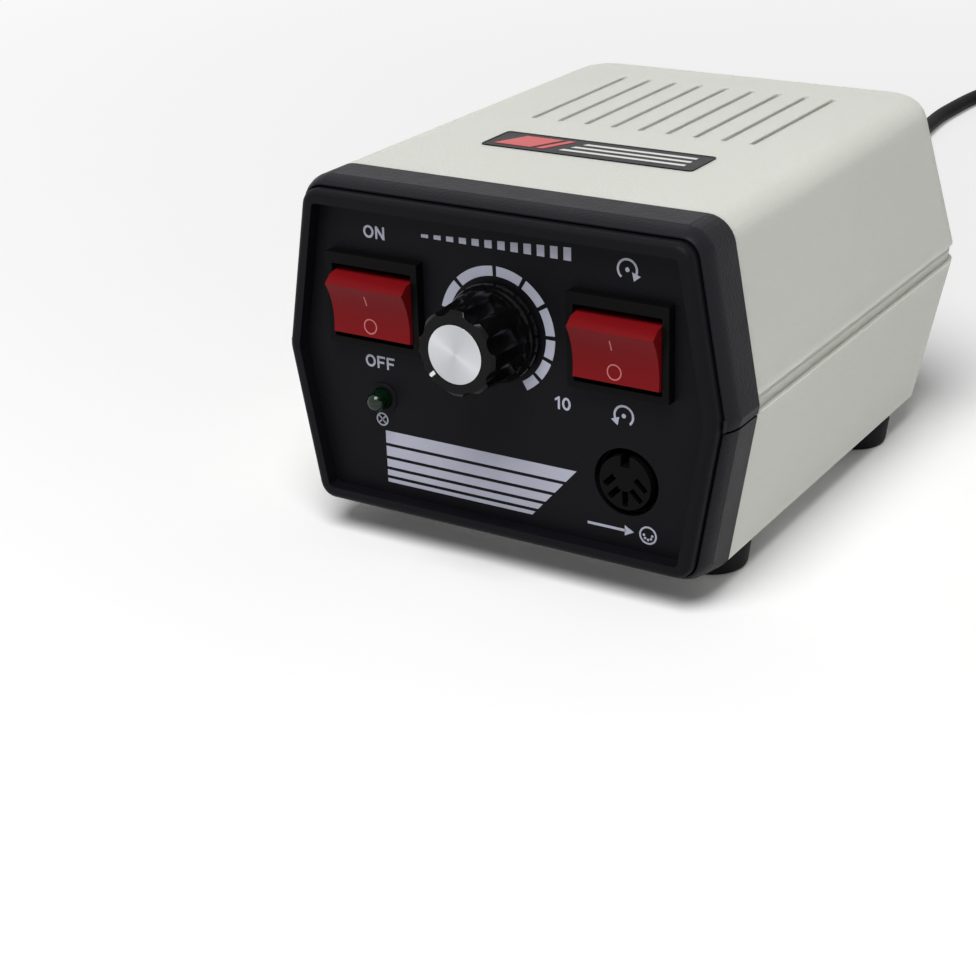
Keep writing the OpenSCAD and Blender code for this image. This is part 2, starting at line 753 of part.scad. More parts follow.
module output_socket_screws() color("#a9abad") front(socket_x, -socket_z) for (s = [-1, 1])
    translate([s * 12.5, 0, 0]) {
        rod(1.2, panel_back - 4.5, panel_back - 0.2);
        rod(2.4, panel_back - 6.3, panel_back - 4.5);
    }

// rear fittings
module fuse_holder_body() color("#1a1a1c") behind(fuse_x, fuse_z) difference() {
    union() {
        rod(fuse_cap_dia / 2 + 1.2, 0, 2);
        rod(fuse_dia / 2 + 3.5, -fuse_l - 6, 1);
    }
    rod(fuse_dia / 2 + 1.7, -fuse_l - 4, far);
    rod(2, -far, 0);
}
module fuse_holder_nut() color("#1a1a1c") behind(fuse_x, fuse_z) difference() {
    translate([0, 0, -rear_t - 3]) linear_extrude(3) circle(r = fuse_dia / 2 + 6, $fn = 6);
    rod(fuse_dia / 2 + 3.5 + run, -far, far);
}
module fuse_holder_terminals() color("#c8a24a") behind(fuse_x, fuse_z) {
    rod(fuse_dia / 2 + 1, -fuse_l - 4, -fuse_l - 2.4);
    rod(1.6, -fuse_l - 12, -fuse_l - 4);
}
module fuse_cap() color("#1c1c1e") behind(fuse_x, fuse_z) difference() {
    union() {
        rod(fuse_cap_dia / 2, 2.4, 2.4 + fuse_cap_l);
        rod(fuse_dia / 2 + 1.3, -6, 3);
    }
    rod(fuse_dia / 2 + run, -far, -2 + run);
    translate([-4, -0.6, 2.4 + fuse_cap_l - 1.2]) cube([8, 1.2, 5]);
}
module fuse_tube() color("#dfe7ea") behind(fuse_x, fuse_z) difference() {
    rod(fuse_dia / 2 - 0.25, -fuse_l - 1.5, -2.5);
    rod(fuse_dia / 2 - 0.9, -far, far);
}
module fuse_end_caps() color("#c3c6c8") behind(fuse_x, fuse_z) for (e = [0, 1])
    translate([0, 0, -2 - e * fuse_l]) mirror([0, 0, e == 0 ? 1 : 0]) difference() {
        rod(fuse_dia / 2, 0, 5);
        rod(fuse_dia / 2 - 0.24, 0.5, 9);
    }
module outlet_body() color("#1d1d1f") behind(outlet_x, -outlet_z) difference() {
    union() {
        translate([-outlet_w / 2, -outlet_h / 2, 0]) cube([outlet_w, outlet_h, 1.4]);
        translate([1.2 - outlet_w / 2, 1.8 - outlet_h / 2, 0]) cube([outlet_w - 2.4, outlet_h - 3.6, 2.6]);
        translate([1.6 - outlet_w / 2, 1.6 - outlet_h / 2, -18]) cube([outlet_w - 3.2, outlet_h - 3.2, 19]);
    }
    for (s = [-1, 1]) translate([s * blade_pitch / 2 - 1.1, -4.3, -30]) cube([2.2, 8.6, 60]);
}
module outlet_contacts() color("#c8a24a") behind(outlet_x, -outlet_z)
    for (s = [-1, 1]) translate([s * blade_pitch / 2 - 1, -4.2, -25]) cube([2, 8.4, 16]);
module strain_relief() color("#141415") behind(-relief_x, -relief_z) {
    rod(7, 0, 2.4);
    rod(5, -rear_t - 3, 1);
    rod(6.4, -rear_t - 3, -rear_t);
    translate([0, 0, 2]) cylinder(r1 = 5.2, r2 = cord_r + 0.9, h = relief_l - 2);
}

// inside parts
module transformer_core() color("#4c4a48") place() difference() {
    box(-core_w / 2, core_w / 2, core_y - core_d / 2, core_y + core_d / 2, core_z, core_z + core_h);
    for (s = [-1, 1]) translate([s * (leg_w + window_w) / 2, core_y, core_z + core_h / 2])
        cube([window_w, core_d + 1, window_h], center = true);
}
module transformer_winding() color("#b58a2e") place() translate([0, core_y, core_z + core_h / 2]) difference() {
    cube([leg_w + 2 * window_w - 0.4, core_d + 2 * winding_over, window_h - 0.4], center = true);
    cube([leg_w + 0.2, core_d + 0.2, far], center = true);
}
module transformer_bracket() color("#a3a6a8") place() difference() {
    translate([0, core_y, core_z]) union() {
        w = core_w / 2 + bracket_t;
        box(-w, w, -bracket_d / 2, bracket_d / 2, 0, core_h + bracket_t);
        box(-w - bracket_tab, w + bracket_tab, -bracket_d / 2, bracket_d / 2, 0, bracket_t);
    }
    box(-core_w / 2, core_w / 2, 0, far, core_z - 1, core_z + core_h);
    at_tabs() rod(1.8, -far, 0);
}
module transformer_screws() color("#a9abad") place() at_tabs() {
    rod(1.5, floor_z + 0.2, core_z + bracket_t);
    rod(3, core_z + bracket_t, core_z + bracket_t + 2.2);
}
module circuit_board() color("#2f5a3c") place() difference() {
    translate([board_x - board_w / 2, board_y - board_d / 2, board_z]) cube([board_w, board_d, board_t]);
    at_board() rod(1.5, -far, 0);
}
module board_screws() color("#a9abad") place() at_board() {
    rod(1.25, floor_z + 0.2, board_z + board_t);
    rod(2.4, board_z + board_t, board_z + board_t + 1.8);
}
module on_board(x, y) {
    place() translate([board_x + x, board_y + y, board_z + board_t]) children();
}
module filter_capacitor() color("#26304a") on_board(board_w / 2 - cap_in, 4) rod(5, 0, cap_h);
module bridge_rectifier() color("#232326") on_board(-6, rectifier_y)
    translate([-rectifier[0] / 2, -rectifier[1] / 2, 0]) cube(rectifier);
module heat_sink() color("#b5b8ba") on_board(0, -hs_y) difference() {
    union() {
        translate([1 - hs_w / 2 + 4, 0, 0]) cube([hs_plate, 2.5, hs_h]);
        for (i = [0:4]) translate([1 - hs_w / 2 + 4 + i * 4.6, -5, 0]) cube([1.6, 6, hs_h]);
    }
    translate([0, -1, 17]) rotate([-90, 0, 0]) rod(1.5 + run, -far, far);
}
module power_transistor() color("#202022") on_board(0, -5.5) difference() {
    union() {
        translate([-5, 0, 4]) cube([10, 1.3, 15.5]);
        translate([-5, 0, 4]) cube([10, 4.4, 9]);
        for (i = [-1:1]) translate([i * 2.54 - 0.4, 2, 0]) cube([0.8, 0.6, 5]);
    }
    translate([0, 0, 17]) rotate([-90, 0, 0]) rod(1.7, -far, far);
}
module heat_sink_screw() color("#a9abad") on_board(0, -4.2) translate([0, 0, 17]) rotate([-90, 0, 0]) {
    rod(1.5, -4.6, 0);
    rod(2.4, 0, 1.6);
}

// mains lead: route in the outer frame, chosen by hand
lead_0 = [relief_x, front_y + rear_face + relief_l, waist_z - relief_z];
lead_z = cord_r + 0.1;
lead_h = lead_0[2] - lead_z;
lead_pts = [
    lead_0, lead_0 + [0, 8, 0], lead_0 + [0, 16, 0],
    [8, 117.5, lead_z + lead_h * 0.95], [7.2, 133, lead_z + lead_h * 0.76], [5.2, 149.5, lead_z + lead_h * 0.46],
    [2, 166.5, lead_z + lead_h * 0.18], [-3, 185, lead_z + lead_h * 0.03],
    [-9.4, 205, lead_z], [-19, 230, lead_z], [-31, 260, lead_z], [-42.6, 290, lead_z], [-51, 318, lead_z],
    [-54.8, 345.6, lead_z], [-55, 366, lead_z], [-53.5, 386.8, lead_z],
    [-49.4, 402.5, 2.9], [-41.5, 414.2, 3.1], [-30, 422, 3.4],
    [-15, 425, 3.7], [-4, 425, 3.7], [coil_c[0] - cord_d, coil_c[1] + coil_out, coil_z]
];
tail_0 = [plug_x, coil_c[1] - cord_d, coil_z + coil_layer];
tail_1 = [plug_x, plug_y + plug_neck, plug_h / 2];
tail_pts = [tail_0, tail_0 - [0, 4, 0], tail_0 * 0.5 + tail_1 * 0.5, tail_1 + [0, 4, 0], tail_1];
function spline(a, b, c, d, t) = 0.5 * (2 * b + (c - a) * t + (2 * a - 5 * b + 4 * c - d) * t * t
    + (3 * b - a - 3 * c + d) * t * t * t);
function smooth(p, n) =
    let (k = len(p) - 1)
    [for (i = [0:k - 1]) for (j = [0:n - 1])
        spline(p[max(i - 1, 0)], p[i], p[i + 1], p[min(i + 2, k)], j / n), p[k]];
function climb(t) = t <= 0 ? 0 : t >= 1 ? 1 : t * t * (3 - 2 * t);
function coil_at(u) =
    let (
        r = coil_min + coil_pitch * abs(u - coil_turns / 2),
        a = 90 - 360 * u
    )
    [coil_c[0] + r * cos(a), coil_c[1] + r * sin(a), coil_z + coil_layer * climb(2 * (u - coil_turns / 2) + 0.5)];
coil_path = [
    [coil_c[0] - cord_d, coil_c[1] + coil_out, coil_z],
    for (i = [0:coil_turns * coil_steps]) coil_at(i / coil_steps),
    tail_0
];
coil_gap = min([for (i = [0:len(coil_path) - 1]) for (j = [i + coil_steps / 2:1:len(coil_path) - 1])
    norm(coil_path[i] - coil_path[j])]) - cord_d;
function run_of(p) = [for (i = [1:len(p) - 1]) norm(p[i] - p[i - 1])] * [for (i = [1:len(p) - 1]) 1];
echo(coil_gap = coil_gap, lead = run_of(smooth(lead_pts, 2)), coil = run_of(coil_path), tail = run_of(tail_pts));
module tube(p, r, sides) {
    k = len(p) - 1;
    dirs = [for (i = [0:k]) unit(p[min(i + 1, k)] - p[max(i - 1, 0)])];
    pts = [for (i = [0:k]) let (s = unit(cross(dirs[i], [0, 0, 1])), w = cross(s, dirs[i]))
        for (j = [0:sides - 1]) p[i] + r * (s * cos(360 * j / sides) + w * sin(360 * j / sides))];
    sides_f = [for (i = [0:k - 1]) for (j = [0:sides - 1])
        let (a = i * sides + j, b = i * sides + (j + 1) % sides)
        each [[a, b, b + sides], [a, b + sides, a + sides]]];
    polyhedron(pts, concat(
        [[for (j = [sides - 1:-1:0]) j]],
        sides_f,
        [[for (j = [0:sides - 1]) k * sides + j]]
    ));
}
module cord_lead() color("#18181a") tube(smooth(lead_pts, 2), cord_r, 10);
module cord_coil() color("#18181a") tube(coil_path, cord_r, 6);
module cord_tail() color("#18181a") tube(tail_pts, cord_r, 10);
module cord_tie() color("#101010") difference() {
    y = coil_c[1];
    box(tie_x0 - tie_t, tie_x1 + tie_t, y - tie_w / 2, y + tie_w / 2, 0.1, tie_top + tie_t);
    box(tie_x0, tie_x1, y - tie_w, y + tie_w, 0.1 + tie_t, tie_top);
}
module cord_plug() color("#18181a") translate([plug_x, plug_y, plug_h / 2]) rotate([90, 0, 0]) {
    translate([0, 0, -plug_neck]) cylinder(r1 = cord_r + 0.9, r2 = 6, h = plug_neck + 1);
    linear_extrude(plug_l) polygon(rounded([
        [plug_w / 2, plug_h / 2], [-plug_w / 2, plug_h / 2], [-plug_w / 2, -plug_h / 2], [plug_w / 2, -plug_h / 2]
    ], [5, 5, 5, 5]));
}
module plug_blades() color("#c9b878") translate([plug_x, plug_y - plug_l, plug_h / 2]) for (s = [-1, 1])
    translate([s * blade_pitch / 2 - 0.75, -blade_l, -blade_h / 2]) cube([1.5, blade_l, blade_h]);

upper_cover();
lower_base();
upper_bezel();
lower_bezel();
front_panel();
rear_panel();
rubber_feet();
foot_screws();
case_screws();
power_switch_housing();
power_switch_terminals();
power_rocker();
direction_switch_housing();
direction_switch_terminals();
direction_rocker();
speed_knob();
knob_cap();
knob_grub_screw();
potentiometer_shaft();
potentiometer_body();
potentiometer_washer();
potentiometer_nut();
potentiometer_terminals();
pilot_lamp_lens();
pilot_lamp_holder();
pilot_lamp_leads();
output_socket_shell();
output_socket_insert();
output_socket_contacts();
output_socket_screws();
fuse_holder_body();
fuse_holder_nut();
fuse_holder_terminals();
fuse_cap();
fuse_tube();
fuse_end_caps();
outlet_body();
outlet_contacts();
strain_relief();
transformer_core();
transformer_winding();
transformer_bracket();
transformer_screws();
circuit_board();
board_screws();
filter_capacitor();
bridge_rectifier();
heat_sink();
power_transistor();
heat_sink_screw();
cord_lead();
cord_coil();
cord_tail();
cord_tie();
cord_plug();
plug_blades();
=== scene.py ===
import json
import math

import bmesh
import bpy
from mathutils import Matrix, Vector


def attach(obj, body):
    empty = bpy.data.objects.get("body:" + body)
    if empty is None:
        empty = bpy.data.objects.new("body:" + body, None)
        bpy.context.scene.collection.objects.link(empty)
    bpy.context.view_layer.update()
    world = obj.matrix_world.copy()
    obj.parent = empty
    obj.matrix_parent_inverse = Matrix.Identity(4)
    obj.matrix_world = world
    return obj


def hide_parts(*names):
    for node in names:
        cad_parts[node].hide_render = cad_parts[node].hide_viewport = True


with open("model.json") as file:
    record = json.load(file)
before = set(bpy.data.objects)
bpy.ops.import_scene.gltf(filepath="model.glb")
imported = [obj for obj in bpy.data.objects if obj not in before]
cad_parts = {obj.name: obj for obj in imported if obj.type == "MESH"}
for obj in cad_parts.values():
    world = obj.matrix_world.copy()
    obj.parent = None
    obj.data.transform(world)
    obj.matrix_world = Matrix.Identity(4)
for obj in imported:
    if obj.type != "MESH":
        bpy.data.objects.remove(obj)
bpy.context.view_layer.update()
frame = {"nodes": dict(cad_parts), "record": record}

MM = 0.001
IMAGE = 976
NODES = frame["nodes"]

# places taken over from the part's source, in millimetres
FRONT_Y = -61.677
WAIST_Z = 45.0
FACE_Y = FRONT_Y + 2.6
TOP_Z = WAIST_Z + 39.4
REAR_Y = FRONT_Y + 128.0
KNOB_Z = 11.0
KNOB_FRONT = FRONT_Y - 14.2
POINTER = 222.0
SWITCH_X = 30.5
PIVOT_Z = WAIST_Z + 12.5
PIVOT_Y = FRONT_Y + 3.6
TILT = math.radians(12.0)
DISH_LOW = 4.75
DISH_DEEP = 1.1
RIDGE = 6.0
CORD_R = 2.7
RELIEF = (8.0, REAR_Y, WAIST_Z - 15.0)
RELIEF_L = 24.0
FUSE = (-26.5, REAR_Y, WAIST_Z + 11.7)
COIL_C = (12.0, 381.95)
COIL_MIN = 21.3
COIL_PITCH = 6.0
COIL_TURNS = 7.25
COIL_LAYER = 6.0
COIL_Z = 3.7
COIL_OUT = COIL_MIN + COIL_PITCH * COIL_TURNS / 2
PLUG_X = COIL_C[0] + COIL_OUT
PLUG_Y = COIL_C[1] - 41.0
PLUG_NECK = 14.0
PLUG_H = 16.0
TIE_X0 = COIL_C[0] - COIL_MIN - 22.55
TIE_X1 = COIL_C[0] - COIL_MIN + 3.25
TIE_TOP = COIL_Z + COIL_LAYER + CORD_R + 0.4


# camera, fitted to the photo without any shift
SENSOR_MM = 36.0
CAMERA_PX = 2101.05
CAMERA_AT = (226.30, FRONT_Y - 354.01, WAIST_Z + 162.58)
CAMERA_AZ = math.radians(32.819)
CAMERA_EL = math.radians(24.021)
CAMERA_ROLL = math.radians(-1.949)


def make_camera():
    data = bpy.data.cameras.new("camera")
    data.sensor_width = SENSOR_MM
    data.lens = CAMERA_PX / IMAGE * SENSOR_MM
    data.clip_start = 0.01
    data.clip_end = 20.0
    cam = bpy.data.objects.new("camera", data)
    bpy.context.scene.collection.objects.link(cam)
    ahead = Vector((-math.sin(CAMERA_AZ) * math.cos(CAMERA_EL),
                    math.cos(CAMERA_AZ) * math.cos(CAMERA_EL), -math.sin(CAMERA_EL)))
    right = Vector((math.cos(CAMERA_AZ), math.sin(CAMERA_AZ), 0.0))
    up = right.cross(ahead)
    r2 = right * math.cos(CAMERA_ROLL) + up * math.sin(CAMERA_ROLL)
    u2 = up * math.cos(CAMERA_ROLL) - right * math.sin(CAMERA_ROLL)
    turn = Matrix((r2, u2, -ahead)).transposed()
    cam.matrix_world = Matrix.Translation(Vector(CAMERA_AT) * MM) @ turn.to_4x4()
    bpy.context.scene.camera = cam


make_camera()


# node materials
class Nodes:
    def __init__(self, name):
        self.mat = bpy.data.materials.new(name)
        self.mat.use_nodes = True
        self.tree = self.mat.node_tree
        self.shader = self.tree.nodes["Principled BSDF"]
        self.coords = self.add("ShaderNodeTexCoord").outputs["Object"]

    def add(self, kind, **values):
        node = self.tree.nodes.new(kind)
        for key, value in values.items():
            setattr(node, key, value)
        return node

    def link(self, a, b):
        self.tree.links.new(a, b)

    def set(self, **values):
        for key, value in values.items():
            self.shader.inputs[key.replace("_", " ")].default_value = value

    def noise(self, scale, detail=3.0, rough=0.6):
        node = self.add("ShaderNodeTexNoise")
        node.inputs["Scale"].default_value = scale
        node.inputs["Detail"].default_value = detail
        node.inputs["Roughness"].default_value = rough
        self.link(self.coords, node.inputs["Vector"])
        return node.outputs["Fac"]

    def ramp(self, value, stops):
        node = self.add("ShaderNodeValToRGB")
        ramp = node.color_ramp
        while len(ramp.elements) < len(stops):
            ramp.elements.new(0.5)
        for element, (at, colour) in zip(ramp.elements, stops):
            element.position = at
            element.color = (*colour, 1.0)
        self.link(value, node.inputs["Fac"])
        return node.outputs["Color"]

    def spread(self, value, low, high):
        node = self.add("ShaderNodeMapRange")
        node.inputs["To Min"].default_value = low
        node.inputs["To Max"].default_value = high
        self.link(value, node.inputs["Value"])
        return node.outputs["Result"]

    def bump(self, value, strength, distance, under=None):
        node = self.add("ShaderNodeBump")
        node.inputs["Strength"].default_value = strength
        node.inputs["Distance"].default_value = distance
        self.link(value, node.inputs["Height"])
        if under:
            self.link(under, node.inputs["Normal"])
        return node.outputs["Normal"]

    def colour(self, value):
        self.link(value, self.shader.inputs["Base Color"])

    def rough(self, value):
        self.link(value, self.shader.inputs["Roughness"])

    def normal(self, value):
        self.link(value, self.shader.inputs["Normal"])


def srgb(r, g, b):
    out = []
    for v in (r, g, b):
        v = v / 255.0
        out.append(v / 12.92 if v <= 0.04045 else ((v + 0.055) / 1.055) ** 2.4)
    return tuple(out)


def scaled(c, k):
    return tuple(min(1.0, v * k) for v in c)


def plastic(name, colour, rough, vary=0.08, grain=900.0, depth=0.00006, strength=0.25, blotch=30.0,
            **values):
    n = Nodes(name)
    broad = n.noise(blotch, 4.0)
    fine = n.noise(grain, 2.0)
    n.colour(n.ramp(broad, [(0.3, scaled(colour, 1 - vary)), (0.7, scaled(colour, 1 + vary))]))
    n.rough(n.spread(n.noise(blotch * 6, 3.0), rough - 0.05, rough + 0.07))
    n.normal(n.bump(fine, strength, depth))
    n.set(**values)
    return n.mat


METAL_GRAIN = 700.0
METAL_VARY = 0.06


def metal(name, colour, rough):
    n = Nodes(name)
    lines = n.noise(METAL_GRAIN)
    n.colour(n.ramp(lines, [(0.3, scaled(colour, 1 - METAL_VARY)), (0.7, scaled(colour, 1 + METAL_VARY))]))
    n.rough(n.spread(lines, rough - 0.07, rough + 0.1))
    n.normal(n.bump(lines, 0.15, 0.00003))
    n.set(Metallic=1.0)
    return n.mat


def moulded_case():
    n = Nodes("case_moulded")
    broad = n.noise(14.0, 4.0)
    grain = n.noise(1500.0, 3.0, 0.7)
    pits = n.add("ShaderNodeTexVoronoi")
    pits.inputs["Scale"].default_value = 1900.0
    n.link(n.coords, pits.inputs["Vector"])
    pale = srgb(215, 216, 208)
    n.colour(n.ramp(broad, [(0.3, scaled(pale, 0.975)), (0.7, scaled(pale, 1.02))]))
    n.rough(n.spread(grain, 0.5, 0.68))
    base = n.bump(pits.outputs["Distance"], 0.25, 0.0003)
    n.normal(n.bump(grain, 0.55, 0.0004, base))
    n.set(Specular_IOR_Level=0.25, Subsurface_Weight=0.8, Subsurface_Scale=0.003,
          Subsurface_Radius=(1.0, 0.95, 0.85))
    return n.mat


def spun_metal_painted_highlight(centre):
    n = Nodes("spun_aluminium_painted_highlight")
    mapping = n.add("ShaderNodeMapping")
    mapping.inputs["Location"].default_value = tuple(-v * MM for v in centre)
    n.link(n.coords, mapping.inputs["Vector"])
    split = n.add("ShaderNodeSeparateXYZ")
    n.link(mapping.outputs["Vector"], split.inputs["Vector"])
    flat = n.add("ShaderNodeCombineXYZ")
    n.link(split.outputs["X"], flat.inputs["X"])
    n.link(split.outputs["Z"], flat.inputs["Z"])
    radius = n.add("ShaderNodeVectorMath", operation="LENGTH")
    n.link(flat.outputs["Vector"], radius.inputs[0])
    ring = n.add("ShaderNodeTexNoise", noise_dimensions="1D")
    ring.inputs["Scale"].default_value = 9000.0
    ring.inputs["Detail"].default_value = 3.0
    n.link(radius.outputs["Value"], ring.inputs["W"])
    # painted highlight: the cosine of twice the angle round the cap gives a lighter and a darker bow-tie
    # across the face. It stands in for the reflection of the light. The 1D noise rings by radius are the
    # real turning marks
    angle = n.add("ShaderNodeMath", operation="ARCTAN2")
    n.link(split.outputs["Z"], angle.inputs[0])
    n.link(split.outputs["X"], angle.inputs[1])
    double = n.add("ShaderNodeMath", operation="MULTIPLY")
    double.inputs[1].default_value = 2.0
    n.link(angle.outputs["Value"], double.inputs[0])
    shift = n.add("ShaderNodeMath", operation="ADD")
    shift.inputs[1].default_value = 0.5
    n.link(double.outputs["Value"], shift.inputs[0])
    wave = n.add("ShaderNodeMath", operation="COSINE")
    n.link(shift.outputs["Value"], wave.inputs[0])
    rings_and_painted_highlight = n.add("ShaderNodeMath", operation="MULTIPLY_ADD")
    rings_and_painted_highlight.inputs[1].default_value = 0.36
    n.link(wave.outputs["Value"], rings_and_painted_highlight.inputs[0])
    n.link(ring.outputs["Fac"], rings_and_painted_highlight.inputs[2])
    tint = srgb(200, 201, 205)
    # base colour mixes the real turning rings with the painted highlight bow-tie
    n.colour(n.ramp(rings_and_painted_highlight.outputs["Value"], [(0.1, scaled(tint, 0.82)), (0.9, scaled(tint, 1.0))]))
    n.rough(n.spread(ring.outputs["Fac"], 0.24, 0.38))
    n.normal(n.bump(ring.outputs["Fac"], 0.2, 0.00002))
    tangent = n.add("ShaderNodeTangent", direction_type="RADIAL", axis="Y")
    n.link(tangent.outputs["Tangent"], n.shader.inputs["Tangent"])
    n.set(Metallic=1.0, Anisotropic=0.85)
    return n.mat


def laminated():
    n = Nodes("core_laminated")
    wave = n.add("ShaderNodeTexWave", wave_type="BANDS", bands_direction="Y")
    wave.inputs["Scale"].default_value = 300.0
    wave.inputs["Distortion"].default_value = 0.4
    n.link(n.coords, wave.inputs["Vector"])
    grey = srgb(92, 90, 88)
    n.colour(n.ramp(wave.outputs["Fac"], [(0.3, scaled(grey, 0.6)), (0.7, grey)]))
    n.rough(n.spread(n.noise(120.0), 0.35, 0.55))
    n.normal(n.bump(wave.outputs["Fac"], 0.4, 0.0002))
    n.set(Metallic=0.6)
    return n.mat


def taped():
    n = Nodes("winding_taped")
    wave = n.add("ShaderNodeTexWave", wave_type="BANDS", bands_direction="Z")
    wave.inputs["Scale"].default_value = 60.0
    wave.inputs["Distortion"].default_value = 1.2
    n.link(n.coords, wave.inputs["Vector"])
    amber = srgb(214, 176, 66)
    n.colour(n.ramp(wave.outputs["Fac"], [(0.1, scaled(amber, 0.75)), (0.3, amber)]))
    n.rough(n.spread(n.noise(200.0), 0.25, 0.4))
    n.normal(n.bump(wave.outputs["Fac"], 0.3, 0.0002))
    return n.mat


def board():
    n = Nodes("board_lacquered")
    brick = n.add("ShaderNodeTexBrick")
    brick.inputs["Scale"].default_value = 180.0
    brick.inputs["Mortar Size"].default_value = 0.06
    brick.inputs["Color1"].default_value = (*srgb(38, 92, 56), 1.0)
    brick.inputs["Color2"].default_value = (*srgb(44, 104, 62), 1.0)
    brick.inputs["Mortar"].default_value = (*srgb(70, 130, 84), 1.0)
    n.link(n.coords, brick.inputs["Vector"])
    n.colour(brick.outputs["Color"])
    n.rough(n.spread(n.noise(150.0), 0.2, 0.35))
    n.normal(n.bump(brick.outputs["Fac"], 0.2, 0.00004))
    return n.mat


def tinted_lens():
    n = Nodes("lens_green")
    cloud = n.noise(400.0, 2.0)
    green = srgb(5, 42, 20)
    n.colour(n.ramp(cloud, [(0.3, scaled(green, 0.8)), (0.7, scaled(green, 1.1))]))
    n.rough(n.spread(cloud, 0.04, 0.09))
    n.set(Transmission_Weight=0.6, IOR=1.5, Specular_IOR_Level=0.25)
    return n.mat


def glass():
    n = Nodes("fuse_glass")
    cloud = n.noise(300.0, 2.0)
    clear = srgb(240, 246, 247)
    n.colour(n.ramp(cloud, [(0.3, scaled(clear, 0.95)), (0.7, clear)]))
    n.rough(n.spread(cloud, 0.02, 0.05))
    n.set(Transmission_Weight=0.95, IOR=1.5)
    return n.mat


MAT = {
    "case_pale": moulded_case(),
    "bezel_black": plastic("bezel_satin", srgb(28, 28, 32), 0.42, grain=1300.0, strength=0.5, depth=0.0002,
                           Specular_IOR_Level=0.08),
    "panel_black": plastic("panel_satin", srgb(13, 13, 17), 0.5, grain=1500.0, strength=0.35, depth=0.00015,
                           Specular_IOR_Level=0.08),
    "rubber_black": plastic("rubber_matt", srgb(20, 20, 21), 0.72, grain=1100.0, strength=0.35,
                            Specular_IOR_Level=0.15),
    "steel": metal("steel_plain", srgb(176, 178, 181), 0.32),
    "switch_black": plastic("switch_satin", srgb(9, 9, 10), 0.38, grain=1200.0, strength=0.12,
                            Specular_IOR_Level=0.05),
    "rocker_red": plastic("rocker_red", srgb(114, 15, 20), 0.34, 0.05, grain=1000.0, strength=0.08,
                          Specular_IOR_Level=0.07),
    "knob_black": plastic("knob_gloss", srgb(7, 7, 8), 0.15, grain=500.0, strength=0.04,
                          Specular_IOR_Level=0.12),
    "aluminium": metal("aluminium_plain", srgb(196, 198, 202), 0.34),
    "brass": metal("brass_plain", srgb(201, 168, 92), 0.28),
    "lamp_green": tinted_lens(),
    "fitting_black": plastic("fitting_satin", srgb(20, 20, 22), 0.4, grain=1000.0, strength=0.15,
                             Specular_IOR_Level=0.1),
    "fuse_glass": glass(),
    "nickel": metal("nickel_plain", srgb(198, 196, 190), 0.16),
    "core_steel": laminated(),
    "winding_tape": taped(),
    "board_green": board(),
    "component_dark": plastic("component_dark", srgb(42, 44, 52), 0.4),
}
CAP_CENTRE = (0.0, KNOB_FRONT, WAIST_Z + KNOB_Z)
SPUN_PAINTED_HIGHLIGHT = spun_metal_painted_highlight(CAP_CENTRE)
INK = plastic("legend_ink", srgb(166, 168, 184), 0.5, 0.04, grain=1500.0, strength=0.05, blotch=200.0)
ROCKER_INK = plastic("rocker_ink", srgb(182, 96, 98), 0.45, 0.04, grain=1500.0, strength=0.05)
WHITE_INK = plastic("pointer_ink", srgb(225, 225, 222), 0.5, 0.03, grain=1500.0, strength=0.05)
BADGE_BLACK = plastic("badge_black", srgb(15, 16, 19), 0.4, grain=1200.0, strength=0.05,
                      Specular_IOR_Level=0.12)
BADGE_RED = plastic("badge_red", srgb(196, 30, 36), 0.32, 0.04, grain=1200.0, strength=0.05)
CORD_MAT = plastic("cord_sheath", srgb(9, 9, 11), 0.5, grain=700.0, strength=0.2,
                   Specular_IOR_Level=0.05)
TIE_MAT = plastic("tie_fabric", srgb(34, 34, 36), 0.85, grain=2500.0, strength=0.6, depth=0.0002)

for entry in frame["record"]["subparts"]:
    node = NODES[entry["node"]]
    node.data.materials.clear()
    node.data.materials.append(MAT[entry["material_slot"]])
NODES["knob_cap"].data.materials[0] = SPUN_PAINTED_HIGHLIGHT
NODES["pilot_lamp_holder"].data.materials[0] = MAT["panel_black"]
for name in ("output_socket_insert", "output_socket_shell"):
    NODES[name].data.materials[0] = MAT["switch_black"]


# rounded edges on the part's own nodes
BEVEL_SEGMENTS = 2
BEVEL_ANGLE = math.radians(35.0)
WELD_MM = 0.02


def ease(name, width):
    obj = NODES[name]
    weld = obj.modifiers.new("weld", "WELD")
    weld.merge_threshold = WELD_MM * MM
    bevel = obj.modifiers.new("bevel", "BEVEL")
    bevel.width = width * MM
    bevel.segments = BEVEL_SEGMENTS
    bevel.limit_method = "ANGLE"
    bevel.angle_limit = BEVEL_ANGLE
    bevel.use_clamp_overlap = True
    bevel.miter_outer = "MITER_ARC"
    obj.modifiers.new("normals", "WEIGHTED_NORMAL")


EASED = {
    "upper_cover": 0.7, "lower_base": 0.5, "upper_bezel": 0.6, "lower_bezel": 0.6, "front_panel": 0.35,
    "rear_panel": 0.3, "rubber_feet": 0.8, "power_switch_housing": 0.4, "direction_switch_housing": 0.4,
    "power_rocker": 0.5, "direction_rocker": 0.5, "speed_knob": 0.3, "knob_cap": 0.2,
    "pilot_lamp_holder": 0.2,
    "output_socket_shell": 0.3, "output_socket_insert": 0.15, "outlet_body": 0.4, "fuse_holder_body": 0.3,
    "plug_blades": 0.3,
}
for name, width in EASED.items():
    ease(name, width)


# shapes
def link(obj):
    bpy.context.scene.collection.objects.link(obj)
    return obj


def mesh_piece(name, bm, material, body, smooth=40.0):
    bmesh.ops.recalc_face_normals(bm, faces=bm.faces)
    for face in bm.faces:
        face.smooth = True
    for edge in bm.edges:
        if len(edge.link_faces) == 2 and edge.calc_face_angle() > math.radians(smooth):
            edge.smooth = False
    data = bpy.data.meshes.new(name)
    bm.to_mesh(data)
    bm.free()
    data.materials.append(material)
    obj = link(bpy.data.objects.new(name, data))
    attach(obj, body)
    return obj


